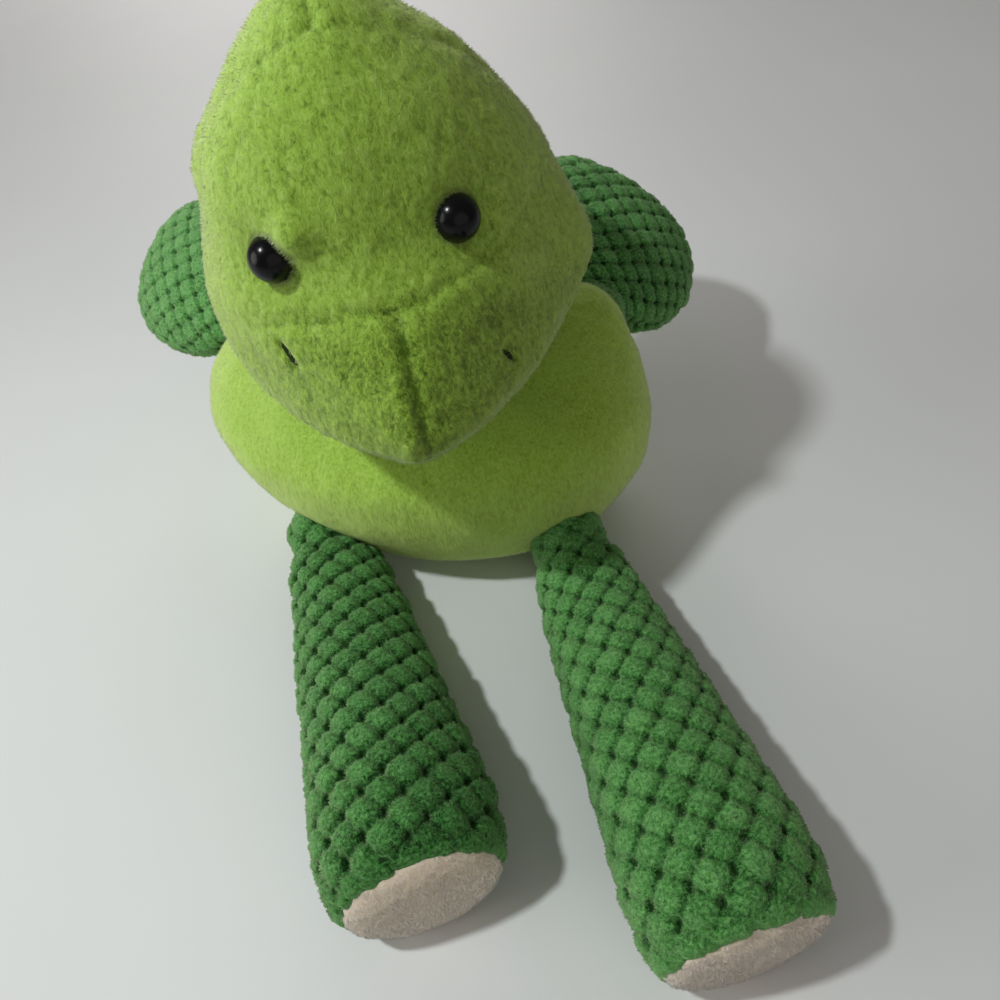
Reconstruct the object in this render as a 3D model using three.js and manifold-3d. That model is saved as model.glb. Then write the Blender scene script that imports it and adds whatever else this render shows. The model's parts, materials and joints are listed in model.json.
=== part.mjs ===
// A seated stuffed animal with a peaked head, a blunt muzzle, short arms and long legs.
// It is sewn from cloth panels over loose filling. Millimetres, +Z up, facing -Y.
// The origin is the middle of the flat patch that the body sits on.
import * as THREE from 'three';
import { mergeVertices } from 'three/addons/utils/BufferGeometryUtils.js';
import Module from 'manifold-3d';

const wasm = await Module();
wasm.setup();
const degrees = THREE.MathUtils.degToRad;

// Cloth, seams and clearances
const CLOTH = 2.6;
const SEAM_GAP = 0.3;
const FILL_GAP = 0.3;
const TURN_GAP = 0.3;
const PRESSED_FLAT = 0.5;

// Gathered cups at the joints: the cloth's thickness, and how far the rim stays behind the middle
const GATHER_THICK = 1;
const GATHER_RIM = 0.4;

// Body, which leans and turns to the toy's right as it sits
const BODY_WIDTH = 198;
const BODY_DEPTH = 126;
const BODY_HEIGHT = 108;
const BODY_LEAN = -21;
const BODY_TWIST = degrees(-22);
const SEAT_SEAM = 12;
const SIDE_SEAM = 8;

// Neck, below the top of the body
const NECK_RADIUS = 24;
const NECK_SINK = 6;
const NECK_SIDE = -10;
const NECK_FRONT = 6;

// Head, set by its lowest point below the neck's middle
const HEAD_WIDTH = 132;
const HEAD_DEPTH = 141;
const HEAD_HEIGHT = 138;
const HEAD_DROP = 4;
const HEAD_FRONT = 6;
const HEAD_LEAN = -4;

// Head seams, their heights measured from its lowest point
const CHIN_HEIGHT = 17;
const BROW_HEIGHT = 58;
const BROW_INSET = 14.5;
const BROW_SLOPE = degrees(20);
const CROWN_BACK = 8;
const CROWN_LEAN = degrees(35);
const FACE_SIDE = -6;
const MUZZLE_SIDE = -10;

// Plastic eyes and their washers
const EYE_RADIUS = 7.3;
const EYE_DOME = 6.5;
const EYE_SPACING = 58;
const EYE_HEIGHT = 74;
const EYE_SEAT = 0.9;
const STEM_RADIUS = 2;
const STEM_SPARE = 2.5;
const WASHER_RADIUS = 7;
const WASHER_THICK = 1.5;

// Stitched nostrils
const NOSTRIL_SPACING = 69;
const NOSTRIL_HEIGHT = { right: 47, left: 33 };
const NOSTRIL_LENGTH = 9;
const NOSTRIL_WIDTH = 3;
const NOSTRIL_THICK = 1.2;
const NOSTRIL_SEAT = 0.8;

// Arms, each on a round root at the body's side, below the top of the body
const ARM_LENGTH = 90;
const ARM_WIDTH = 84;
const ARM_THICK = 44;
const ARM_ROOT = 12;
const SHOULDER_DROP = 26;
const SHOULDER_BACK = 24;
const SHOULDER_OUT = 2;
const ARM_BACK = { right: degrees(32), left: degrees(83) };
const ARM_ROLL = degrees(125);

// Legs, each on a round root a little ahead of the belly
const LEG_LENGTH = 169;
const LEG_WIDTH = 64;
const LEG_HEIGHT = 56;
const LEG_ROOT = 13;
const HIP_HEIGHT = 22;
const HIP_SPACING = 110;
const HIP_FRONT = 10;
const LEG_SPLAY = { right: degrees(7.6), left: degrees(3.8) };
const PAD_DEPTH = 5;
const PAD_TILT = degrees(10);

// Rows of a form: shares of its length, half width and half depth, then how far its middle is moved,
// and for the head how far its front is drawn to a point
const HEAD_ROWS = [
  [1, 0, 0, -0.1, 0],
  [0.97, 0.16, 0.15, -0.1, 0],
  [0.9, 0.34, 0.29, -0.09, 0],
  [0.78, 0.61, 0.47, -0.06, 0],
  [0.63, 0.84, 0.62, -0.01, 0],
  [0.51, 0.95, 0.72, 0.03, 0.05],
  [0.4, 1, 0.82, -0.04, 0.2],
  [0.28, 0.98, 0.88, -0.2, 0.55],
  [0.165, 0.86, 0.8, -0.4, 0.55],
  [0.08, 0.63, 0.57, -0.49, 0.5],
  [0.02, 0.36, 0.31, -0.47, 0.3],
  [0, 0, 0, -0.46, 0],
];
const BODY_ROWS = [
  [1, 0, 0, 0.14],
  [0.97, 0.26, 0.24, 0.14],
  [0.9, 0.5, 0.43, 0.13],
  [0.81, 0.82, 0.66, 0.06],
  [0.66, 0.98, 0.92, -0.08],
  [0.48, 1, 1, -0.1],
  [0.29, 0.91, 0.96, -0.05],
  [0.115, 0.74, 0.78, -0.02],
  [0.02, 0.5, 0.55, 0],
  [0, 0, 0, 0],
];
const LEG_ROWS = [
  [1, 0, 0, 1],
  [0.985, 0.72, 0.68, 1],
  [0.935, 0.95, 0.95, 1],
  [0.83, 1, 1, 1],
  [0.6, 0.89, 0.86, 1],
  [0.36, 0.76, 0.7, 1],
  [0.18, 0.63, 0.54, 0.5],
  [0.085, 0.5, 0.42, 0.1],
  [0, 0, 0, 0],
];
const ARM_ROWS = [
  [1, 0, 0, 0],
  [0.97, 0.56, 0.56, 0],
  [0.88, 0.89, 0.89, 0],
  [0.72, 1, 1, 0],
  [0.5, 0.97, 0.96, 0],
  [0.3, 0.76, 0.74, 0],
  [0.15, 0.4, 0.44, 0],
  [0, 0, 0, 0],
];

// How finely the forms are divided, around and along
const HEAD_FACETS = [16, 12];
const BODY_FACETS = [16, 10];
const LEG_FACETS = [12, 9];
const ARM_FACETS = [10, 8];
const BALL_FACETS = [12, 6];
const HOLLOW_FACETS = [18, 10];
const ROUND_FACETS = 14;
const DOME_STEPS = 4;
const OVAL_STEPS = 6;
const REACH = 1000;

const UP = new THREE.Vector3(0, 0, 1);
const DOWN = new THREE.Vector3(0, 0, -1);
const ACROSS = new THREE.Vector3(1, 0, 0);
const BACKWARD = new THREE.Vector3(0, 1, 0);
const ORIGIN = new THREE.Vector3();
const SIDES = { right: -1, left: 1 };

function cloth(color) {
  return new THREE.MeshStandardMaterial({ color, roughness: 0.95, metalness: 0 });
}
const LIME = cloth(0x9bb84a);
const LIME_SHADE = cloth(0x86a63e);
const POPCORN = cloth(0x4c9a50);
const BEIGE = cloth(0xd3bb9c);
const FILL = cloth(0xf1efe8);
const THREAD = cloth(0x2c3a1c);
const BLACK = new THREE.MeshStandardMaterial({ color: 0x0c0c0d, roughness: 0.08, metalness: 0 });
const WHITE = new THREE.MeshStandardMaterial({ color: 0xe8e8e4, roughness: 0.5, metalness: 0 });

function toSolid(geometry) {
  const bare = geometry.clone();
  bare.deleteAttribute('normal');
  bare.deleteAttribute('uv');
  const merged = mergeVertices(bare);
  return new wasm.Manifold(new wasm.Mesh({
    numProp: 3,
    vertProperties: new Float32Array(merged.attributes.position.array),
    triVerts: new Uint32Array(merged.index.array),
  }));
}

function toMesh(solid, name, material) {
  const made = solid.getMesh();
  const geometry = new THREE.BufferGeometry();
  geometry.setAttribute('position', new THREE.BufferAttribute(made.vertProperties, 3));
  geometry.setIndex(new THREE.BufferAttribute(made.triVerts, 1));
  const mesh = new THREE.Mesh(geometry, material);
  mesh.name = name;
  return mesh;
}

// A closed form that swells and tapers along +Z through its rows, moved in by the given distance
function stuffed(rows, size, facets, inward) {
  const spine = new THREE.CatmullRomCurve3(rows.map((row) => new THREE.Vector3(row[0], 0, 0)));
  const girth = new THREE.CatmullRomCurve3(rows.map((row) => new THREE.Vector3(row[1], row[2], row[3])));
  const points = new THREE.CatmullRomCurve3(rows.map((row) => new THREE.Vector3(row[4] ?? 0, 0, 0)));
  const form = new THREE.SphereGeometry(1, facets[0], facets[1]);
  const place = form.attributes.position;
  const around = form.attributes.uv;
  for (let i = 0; i < place.count; i += 1) {
    const share = spine.getPoint(1 - around.getY(i)).x;
    const reach = girth.getPoint(1 - around.getY(i));
    const turn = around.getX(i) * Math.PI * 2;
    const pointed = Math.max(0, points.getPoint(1 - around.getY(i)).x);
    const ahead = Math.max(0, Math.sin(turn));
    const bend = ahead > 0 ? 1 + pointed : 1;
    const across = Math.sign(Math.cos(turn)) * Math.abs(Math.cos(turn)) ** bend;
    const depth = ahead > 0 ? ahead ** bend : Math.sin(turn);
    const half = reach.y * size.deep;
    const middle = size.floor ? reach.z * (half - size.floor) : reach.z * size.deep;
    const aside = size.lean * share + (size.sway ?? 0) * pointed * ahead ** 2;
    place.setXYZ(i, aside - across * reach.x * size.side, middle - depth * half, share * size.length);
  }
  form.deleteAttribute('normal');
  form.deleteAttribute('uv');
  const closed = mergeVertices(form);
  closed.computeVertexNormals();
  const skin = closed.attributes.position;
  for (let i = 0; i < skin.count; i += 1) {
    const out = new THREE.Vector3().fromBufferAttribute(closed.attributes.normal, i);
    const point = new THREE.Vector3().fromBufferAttribute(skin, i).addScaledVector(out, -inward);
    skin.setXYZ(i, point.x, point.y, point.z);
  }
  return closed;
}

// A faceted ball with its poles along Z
function round(radius, facets, centre) {
  const sphere = new THREE.SphereGeometry(radius, facets[0], facets[1]);
  sphere.rotateX(Math.PI / 2);
  sphere.translate(centre.x, centre.y, centre.z);
  return toSolid(sphere);
}

function ball(radius, centre) {
  return round(radius, BALL_FACETS, centre);
}

// The share of its radius at which a faceted ball's flats lie
function flat(facets) {
  return Math.cos(Math.PI / facets[0]) * Math.cos(Math.PI / (2 * facets[1]));
}

// The corners of a hollow in which a ball of the given radius turns clear of every facet
function hollowRadius(radius) {
  return (radius + TURN_GAP) / flat(HOLLOW_FACETS);
}

function hollow(radius, centre) {
  return round(hollowRadius(radius), HOLLOW_FACETS, centre);
}

// Everything on the back side of a plane
function behind(normal, point) {
  const block = new THREE.BoxGeometry(REACH, REACH, REACH);
  block.translate(0, 0, -REACH / 2);
  block.applyQuaternion(new THREE.Quaternion().setFromUnitVectors(UP, normal.clone().normalize()));
  block.translate(point.x, point.y, point.z);
  return toSolid(block);
}

function above(height) {
  return behind(DOWN, new THREE.Vector3(0, 0, height));
}

// The two sides of a seam, each held back by half the seam's gap
function seam(solid, normal, point) {
  const away = normal.clone().normalize();
  const front = point.clone().addScaledVector(away, SEAM_GAP / 2);
  const back = point.clone().addScaledVector(away, -SEAM_GAP / 2);
  const inFront = solid.intersect(behind(away.clone().negate(), front));
  const inBack = solid.intersect(behind(away, back));
  return [inFront, inBack];
}

// The first point of a form that a straight line meets, and the form's outward normal there
function meet(form, start, direction) {
  const probe = new THREE.Mesh(form, new THREE.MeshBasicMaterial());
  const hit = new THREE.Raycaster(start, direction).intersectObject(probe)[0];
  return { point: hit.point, normal: hit.face.normal.clone() };
}

// The outside of the gathered cloth cup round a joint's ball
function cupRadius(radius) {
  return (hollowRadius(radius) + GATHER_THICK) / flat(BALL_FACETS);
}

// A gathered cloth cup round the part of a joint's ball that faces away from what it carries
function gather(radius, towards) {
  const cup = ball(cupRadius(radius), ORIGIN).subtract(hollow(radius, ORIGIN));
  return cup.intersect(behind(towards, towards.clone().multiplyScalar(-GATHER_RIM * radius)));
}

function socket(radius, centre) {
  return hollow(cupRadius(radius), centre);
}

// The body's form, its joints' places and the hollows there, all before the body is turned
const bodySize = {
  side: BODY_WIDTH / 2,
  deep: BODY_DEPTH / 2,
  lean: BODY_LEAN,
  length: BODY_HEIGHT + PRESSED_FLAT,
};

function bodyForm(inward) {
  return stuffed(BODY_ROWS, bodySize, BODY_FACETS, inward).translate(0, 0, -PRESSED_FLAT);
}
const bodyOutside = bodyForm(0);

function hipPlace(side) {
  const start = new THREE.Vector3(SIDES[side] * HIP_SPACING / 2, -REACH, HIP_HEIGHT);
  return meet(bodyOutside, start, BACKWARD).point.addScaledVector(BACKWARD, -HIP_FRONT);
}

function shoulderPlace(side) {
  const start = new THREE.Vector3(SIDES[side] * REACH, SHOULDER_BACK, BODY_HEIGHT - SHOULDER_DROP);
  const inward = new THREE.Vector3(-SIDES[side], 0, 0);
  return meet(bodyOutside, start, inward).point.addScaledVector(inward, -SHOULDER_OUT);
}

const neckPlace = new THREE.Vector3(NECK_SIDE, -NECK_FRONT, BODY_HEIGHT - NECK_SINK);
const bodyTurn = new THREE.Matrix4().makeRotationAxis(UP, BODY_TWIST);

function jointHollows() {
  let hollows = socket(NECK_RADIUS, neckPlace.clone().applyAxisAngle(UP, -BODY_TWIST));
  for (const side of Object.keys(SIDES)) {
    hollows = hollows.add(socket(LEG_ROOT, hipPlace(side)));
    hollows = hollows.add(socket(ARM_ROOT, shoulderPlace(side)));
  }
  return hollows;
}

// The room that the body takes up, seen from a group inside it, for cutting what leans on it
function bodyRoom(placed) {
  const room = toMesh(toSolid(bodyForm(-SEAM_GAP)).subtract(jointHollows()), 'room', LIME);
  return toSolid(room.geometry.applyMatrix4(placed.clone().invert()));
}

// Body: four cloth panels over one filling, hollowed at the neck, shoulders and hips
function makeBody() {
  const group = new THREE.Group();
  group.rotation.z = BODY_TWIST;
  const hollows = jointHollows();
  const lining = toSolid(bodyForm(CLOTH)).intersect(above(CLOTH));
  const cover = toSolid(bodyOutside).intersect(above(0)).subtract(lining).subtract(hollows);
  const [upper, seat] = seam(cover, UP, new THREE.Vector3(0, 0, SEAT_SEAM));
  const [back, belly] = seam(upper, BACKWARD, new THREE.Vector3(0, SIDE_SEAM, 0));
  const [backLeft, backRight] = seam(back, ACROSS, ORIGIN);
  const fill = toSolid(bodyForm(CLOTH + FILL_GAP)).intersect(above(CLOTH + FILL_GAP));
  group.add(toMesh(seat, 'seat_panel', LIME_SHADE));
  group.add(toMesh(belly, 'belly_panel', LIME));
  group.add(toMesh(backLeft, 'back_panel_left', LIME));
  group.add(toMesh(backRight, 'back_panel_right', LIME));
  group.add(toMesh(fill.subtract(hollows), 'body_filling', FILL));
  return group;
}

// Neck: a firm wad of filling in a gathered cloth cup
function makeNeck() {
  const group = new THREE.Group();
  group.position.copy(neckPlace);
  group.add(toMesh(gather(NECK_RADIUS, UP), 'neck_gather', LIME_SHADE));
  group.add(toMesh(ball(NECK_RADIUS, ORIGIN), 'neck_wad', FILL));
  return group;
}

// A round piece from its profile of radius and height, with its axis along +Z
function turned(points) {
  const profile = points.map((point) => new THREE.Vector2(point[0], point[1]));
  return new THREE.LatheGeometry(profile, ROUND_FACETS).rotateX(Math.PI / 2);
}

function disc(radius, low, high) {
  return turned([[0, low], [radius, low], [radius, high], [0, high]]);
}

// A piece stood on a spot of the face, its axis along the normal
function stand(geometry, spot) {
  const placed = geometry.clone();
  placed.applyQuaternion(new THREE.Quaternion().setFromUnitVectors(UP, spot.normal));
  return toSolid(placed.translate(spot.point.x, spot.point.y, spot.point.z));
}

// Plastic eye: a low dome on a stem that goes through the cloth into a washer
const eyeRim = SEAM_GAP - EYE_SEAT;
const washerTop = -EYE_SEAT - CLOTH - FILL_GAP;
const washerLow = washerTop - WASHER_THICK;
const stemEnd = washerLow - STEM_SPARE;

function eyeShape() {
  const points = [[0, stemEnd], [STEM_RADIUS, stemEnd], [STEM_RADIUS, eyeRim], [EYE_RADIUS, eyeRim]];
  for (let i = 1; i < DOME_STEPS; i += 1) {
    const angle = (i / DOME_STEPS) * Math.PI / 2;
    points.push([EYE_RADIUS * Math.cos(angle), eyeRim + EYE_DOME * Math.sin(angle)]);
  }
  points.push([0, eyeRim + EYE_DOME]);
  return turned(points);
}

function washerShape() {
  const hole = STEM_RADIUS + TURN_GAP;
  const ring = [[hole, washerLow], [WASHER_RADIUS, washerLow], [WASHER_RADIUS, washerTop], [hole, washerTop]];
  return turned([...ring, ring[0]]);
}

function nostrilShape(low, high, spare) {
  const oval = new THREE.Shape();
  oval.absellipse(0, 0, NOSTRIL_WIDTH / 2 + spare, NOSTRIL_LENGTH / 2 + spare, 0, Math.PI * 2);
  const options = { depth: high - low, bevelEnabled: false, curveSegments: OVAL_STEPS };
  return new THREE.ExtrudeGeometry(oval, options).translate(0, 0, low);
}

// Head: six cloth panels over one filling, with the eyes, washers and stitched nostrils
function makeHead() {
  const group = new THREE.Group();
  group.position.copy(neckPlace);
  const size = {
    side: HEAD_WIDTH / 2,
    deep: HEAD_DEPTH / 2,
    lean: HEAD_LEAN,
    sway: MUZZLE_SIDE,
    length: HEAD_HEIGHT,
  };
  const form = (inward) => stuffed(HEAD_ROWS, size, HEAD_FACETS, inward)
    .translate(0, -HEAD_FRONT, -HEAD_DROP);
  const placed = bodyTurn.clone().invert().multiply(new THREE.Matrix4().setPosition(neckPlace));
  const neckHollow = hollow(NECK_RADIUS, ORIGIN).add(bodyRoom(placed));
  const outside = form(0);
  let cover = toSolid(outside).subtract(toSolid(form(CLOTH))).subtract(neckHollow);
  let fill = toSolid(form(CLOTH + FILL_GAP)).subtract(neckHollow);
  const eyeRecess = disc(EYE_RADIUS + SEAM_GAP, -EYE_SEAT, EYE_RADIUS);
  const stemHole = disc(STEM_RADIUS + TURN_GAP, stemEnd - TURN_GAP, 0);
  const washerRoom = disc(WASHER_RADIUS + TURN_GAP, stemEnd, washerTop + FILL_GAP);
  const washerPocket = disc(WASHER_RADIUS + TURN_GAP, washerLow - FILL_GAP, 0);
  const stitchLow = SEAM_GAP - NOSTRIL_SEAT;
  const stitch = nostrilShape(stitchLow, stitchLow + NOSTRIL_THICK, 0);
  const stitchBed = nostrilShape(-NOSTRIL_SEAT, NOSTRIL_LENGTH, SEAM_GAP);
  const onFace = (side, spacing, height) => {
    const start = new THREE.Vector3(FACE_SIDE + SIDES[side] * spacing / 2, -REACH, height - HEAD_DROP);
    return meet(outside, start, BACKWARD);
  };
  for (const side of Object.keys(SIDES)) {
    const eyeSpot = onFace(side, EYE_SPACING, EYE_HEIGHT);
    const noseSpot = onFace(side, NOSTRIL_SPACING, NOSTRIL_HEIGHT[side]);
    cover = cover.subtract(stand(eyeRecess, eyeSpot)).subtract(stand(stemHole, eyeSpot));
    cover = cover.subtract(stand(washerRoom, eyeSpot)).subtract(stand(stitchBed, noseSpot));
    fill = fill.subtract(stand(stemHole, eyeSpot)).subtract(stand(washerPocket, eyeSpot));
    group.add(toMesh(stand(eyeShape(), eyeSpot), `eye_${side}`, BLACK));
    group.add(toMesh(stand(washerShape(), eyeSpot), `eye_washer_${side}`, WHITE));
    group.add(toMesh(stand(stitch, noseSpot), `nostril_stitch_${side}`, THREAD));
  }
  const crownNormal = new THREE.Vector3(0, Math.cos(CROWN_LEAN), Math.sin(CROWN_LEAN));
  const browNormal = new THREE.Vector3(0, Math.sin(BROW_SLOPE), Math.cos(BROW_SLOPE));
  const [over, chin] = seam(cover, UP, new THREE.Vector3(0, 0, CHIN_HEIGHT - HEAD_DROP));
  const [back, front] = seam(over, crownNormal, new THREE.Vector3(0, CROWN_BACK, HEAD_HEIGHT / 2));
  const browPoint = new THREE.Vector3(0, BROW_INSET - HEAD_DEPTH / 2, BROW_HEIGHT - HEAD_DROP);
  const [crown, muzzle] = seam(front, browNormal, browPoint);
  const [muzzleLeft, muzzleRight] = seam(muzzle, ACROSS, new THREE.Vector3(FACE_SIDE, 0, 0));
  const [backLeft, backRight] = seam(back, ACROSS, new THREE.Vector3(FACE_SIDE, 0, 0));
  group.add(toMesh(crown, 'crown_panel', LIME));
  group.add(toMesh(muzzleLeft, 'muzzle_panel_left', LIME_SHADE));
  group.add(toMesh(muzzleRight, 'muzzle_panel_right', LIME_SHADE));
  group.add(toMesh(backLeft, 'head_back_panel_left', LIME));
  group.add(toMesh(backRight, 'head_back_panel_right', LIME));
  group.add(toMesh(chin, 'chin_panel', LIME_SHADE));
  group.add(toMesh(fill, 'head_filling', FILL));
  return group;
}

// Arm: two cloth panels over one filling, on a round root in a gathered cup
function makeArm(side) {
  const group = new THREE.Group();
  group.position.copy(shoulderPlace(side));
  const limb = new THREE.Group();
  limb.rotation.order = 'ZYX';
  limb.rotation.set(0, SIDES[side] * Math.PI / 2, SIDES[side] * ARM_BACK[side]);
  const sleeve = new THREE.Group();
  sleeve.rotation.z = SIDES[side] * ARM_ROLL;
  limb.add(sleeve);
  group.add(limb);
  group.updateMatrixWorld(true);
  const room = bodyRoom(sleeve.matrixWorld);
  const size = { side: ARM_WIDTH / 2, deep: ARM_THICK / 2, lean: 0, length: ARM_LENGTH };
  const form = (inward) => toSolid(stuffed(ARM_ROWS, size, ARM_FACETS, inward))
    .subtract(room)
    .add(ball(ARM_ROOT - inward, ORIGIN));
  const cover = form(0).subtract(form(CLOTH));
  const [back, front] = seam(cover, BACKWARD, ORIGIN);
  sleeve.add(toMesh(front, `arm_${side}_front_panel`, POPCORN));
  sleeve.add(toMesh(back, `arm_${side}_back_panel`, POPCORN));
  sleeve.add(toMesh(form(CLOTH + FILL_GAP), `arm_${side}_filling`, FILL));
  const outward = UP.clone().applyEuler(limb.rotation);
  group.add(toMesh(gather(ARM_ROOT, outward), `shoulder_gather_${side}`, LIME_SHADE));
  return group;
}

// Leg: two cloth panels and a foot pad over one filling, on a round root in a gathered cup
function makeLeg(side) {
  const group = new THREE.Group();
  group.position.copy(hipPlace(side));
  const limb = new THREE.Group();
  limb.rotation.z = LEG_SPLAY[side] - BODY_TWIST;
  group.add(limb);
  group.updateMatrixWorld(true);
  const room = bodyRoom(limb.matrixWorld);
  const size = {
    side: LEG_WIDTH / 2,
    deep: LEG_HEIGHT / 2,
    lean: 0,
    floor: HIP_HEIGHT + PRESSED_FLAT,
    length: LEG_LENGTH,
  };
  const form = (inward, low) => toSolid(stuffed(LEG_ROWS, size, LEG_FACETS, inward).rotateX(Math.PI / 2))
    .subtract(room)
    .add(ball(LEG_ROOT - inward, ORIGIN))
    .intersect(above(low - HIP_HEIGHT));
  const cover = form(0, 0).subtract(form(CLOTH, CLOTH));
  const soleNormal = new THREE.Vector3(0, -Math.cos(PAD_TILT), Math.sin(PAD_TILT));
  const [pad, tube] = seam(cover, soleNormal, new THREE.Vector3(0, PAD_DEPTH - LEG_LENGTH, 0));
  const [top, under] = seam(tube, UP, ORIGIN);
  const fill = form(CLOTH + FILL_GAP, CLOTH + FILL_GAP);
  limb.add(toMesh(top, `leg_${side}_top_panel`, POPCORN));
  limb.add(toMesh(under, `leg_${side}_under_panel`, POPCORN));
  limb.add(toMesh(pad, `foot_pad_${side}`, BEIGE));
  limb.add(toMesh(fill, `leg_${side}_filling`, FILL));
  const outward = new THREE.Vector3(0, -1, 0).applyEuler(limb.rotation);
  group.add(toMesh(gather(LEG_ROOT, outward), `hip_gather_${side}`, LIME_SHADE));
  return group;
}

const toy = new THREE.Group();
const body = makeBody();
for (const side of Object.keys(SIDES)) {
  body.add(makeArm(side));
  body.add(makeLeg(side));
}
toy.add(body);
toy.add(makeNeck());
toy.add(makeHead());

export default toy;
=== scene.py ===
"""A seated stuffed toy animal: lime plush head and body, nubbly green arms and legs, fleece soles."""

import bisect
import json
import math
import random

import bmesh
import bpy
from mathutils import Matrix, Vector, noise
from mathutils.bvhtree import BVHTree


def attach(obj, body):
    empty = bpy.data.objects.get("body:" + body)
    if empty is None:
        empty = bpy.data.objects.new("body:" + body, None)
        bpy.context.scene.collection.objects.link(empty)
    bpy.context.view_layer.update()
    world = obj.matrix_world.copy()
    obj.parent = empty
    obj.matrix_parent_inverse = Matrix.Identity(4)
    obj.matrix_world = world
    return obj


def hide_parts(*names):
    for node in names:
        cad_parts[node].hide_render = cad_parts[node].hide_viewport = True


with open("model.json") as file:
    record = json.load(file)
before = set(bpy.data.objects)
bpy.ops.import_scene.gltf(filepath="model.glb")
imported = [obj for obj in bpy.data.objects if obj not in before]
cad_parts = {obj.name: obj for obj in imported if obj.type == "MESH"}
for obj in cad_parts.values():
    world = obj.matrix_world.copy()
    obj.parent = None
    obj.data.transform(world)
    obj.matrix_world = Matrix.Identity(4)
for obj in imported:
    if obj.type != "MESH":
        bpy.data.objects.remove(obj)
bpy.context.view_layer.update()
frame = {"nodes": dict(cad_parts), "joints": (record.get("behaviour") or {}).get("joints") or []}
scene = bpy.context.scene


# View. The toy is seen from above its feet and from close by, so that its head looks large. The camera
# is held a little turned.
camera_data = bpy.data.cameras.new("camera")
camera_data.sensor_width = 36
camera_data.lens = 28.26
camera_place = (-0.007, -0.266, 0.297)
look_down, look_aside, held_turned = math.radians(50), math.radians(4), math.radians(10.9)
level = Vector((math.cos(look_aside), -math.sin(look_aside), 0))
ahead = Vector((math.sin(look_aside) * math.cos(look_down),
                math.cos(look_aside) * math.cos(look_down),
                -math.sin(look_down)))
under = ahead.cross(level)
rightward = level * math.cos(held_turned) + under * math.sin(held_turned)
downward = under * math.cos(held_turned) - level * math.sin(held_turned)
camera = bpy.data.objects.new("camera", camera_data)
camera.matrix_world = (Matrix.Translation(camera_place)
                       @ Matrix((rightward, -downward, -ahead)).transposed().to_4x4())
scene.collection.objects.link(camera)
scene.camera = camera


# Table and light. A plain pale table top, one small lamp above the toy's right, wide low windows on
# that side, behind and in front, and a dim room around.
MIX_FIRST, MIX_SECOND, MIX_RESULT = 6, 7, 2


def new_material(name):
    """A material, its nodes, its links and the shader that it starts with."""
    made = bpy.data.materials.new(name)
    made.use_nodes = True
    nodes = made.node_tree.nodes
    return made, nodes, made.node_tree.links, nodes["Principled BSDF"]


def colour_mix(nodes, first, second):
    """A node that mixes two colours. Its colour sockets share their names with others, so they go by
    number."""
    mix = nodes.new("ShaderNodeMix")
    mix.data_type = "RGBA"
    mix.inputs[MIX_FIRST].default_value = first
    mix.inputs[MIX_SECOND].default_value = second
    return mix


floor_form = bmesh.new()
bmesh.ops.create_grid(floor_form, x_segments=2, y_segments=2, size=4)
floor_mesh = bpy.data.meshes.new("floor")
floor_form.to_mesh(floor_mesh)
floor_form.free()
floor = bpy.data.objects.new("floor", floor_mesh)
scene.collection.objects.link(floor)
table_top, nodes, links, table_shader = new_material("pale_table_top")
table_shader.inputs["Roughness"].default_value = 0.55
table_place = nodes.new("ShaderNodeTexCoord")
table_cloud = nodes.new("ShaderNodeTexNoise")
table_cloud.inputs["Scale"].default_value = 5
table_cloud.inputs["Detail"].default_value = 5
table_tint = colour_mix(nodes, (0.72, 0.735, 0.745, 1), (0.8, 0.81, 0.815, 1))
links.new(table_place.outputs["Object"], table_cloud.inputs["Vector"])
links.new(table_cloud.outputs["Fac"], table_tint.inputs["Factor"])
links.new(table_tint.outputs[MIX_RESULT], table_shader.inputs["Base Color"])
floor_mesh.materials.append(table_top)

for name, place, size, power, colour in (
    ("key_lamp", (-0.364, -0.091, 0.706), 0.05, 2.8, (0.95, 1, 0.98)),
    ("side_window", (-1.88, 0, 0.68), 1.3, 11.5, (0.98, 0.98, 0.94)),
    ("back_window", (0, 1.88, 0.68), 1.3, 12, (1, 0.97, 0.95)),
    ("front_window", (0.5, -1.85, 0.6), 2.6, 7, (1, 0.95, 0.9)),
):
    light = bpy.data.lights.new(name, "AREA")
    light.shape = "DISK"
    light.size = size
    light.energy = power
    light.color = colour
    holder = bpy.data.objects.new(name, light)
    holder.location = place
    holder.rotation_euler = (-Vector(place)).to_track_quat("-Z", "Y").to_euler()
    scene.collection.objects.link(holder)
room = bpy.data.worlds.new("room")
scene.world = room
room.use_nodes = True
room.node_tree.nodes["Background"].inputs["Color"].default_value = (1, 0.94, 0.89, 1)
room.node_tree.nodes["Background"].inputs["Strength"].default_value = 0.15
scene.view_settings.view_transform = "Standard"


# Body. One wide pear of short lime plush, cut as a seat, a belly and two back panels, sewn inside
# out, turned and stuffed firmly with fibre. It sits leaning and turned a little to its right.
BODY_ROWS = (
    (1, 0, 0, 0.14), (0.97, 0.3, 0.25, 0.14), (0.9, 0.58, 0.45, 0.13), (0.81, 0.85, 0.66, 0.06),
    (0.66, 0.98, 0.92, -0.08), (0.48, 0.99, 0.99, -0.1), (0.29, 0.91, 0.98, -0.08),
    (0.115, 0.75, 0.84, -0.09), (0.02, 0.5, 0.57, -0.03), (0, 0, 0, 0),
)
body_half_width, body_half_depth, body_height, body_lean = 0.099, 0.063, 0.108, -0.021
body_turn = Matrix.Rotation(math.radians(-22), 4, "Z")
body_home = body_turn.inverted()
seat_seam, side_seam = 0.012, 0.008
seam_hold = 0.003
middling_nap = 0.5
# Without a seed, the noise that swirls the pile would start from the clock and change from run to run.
noise.seed_set(1)


def clamp(value, low=0, high=1):
    return max(low, min(high, value))


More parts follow.
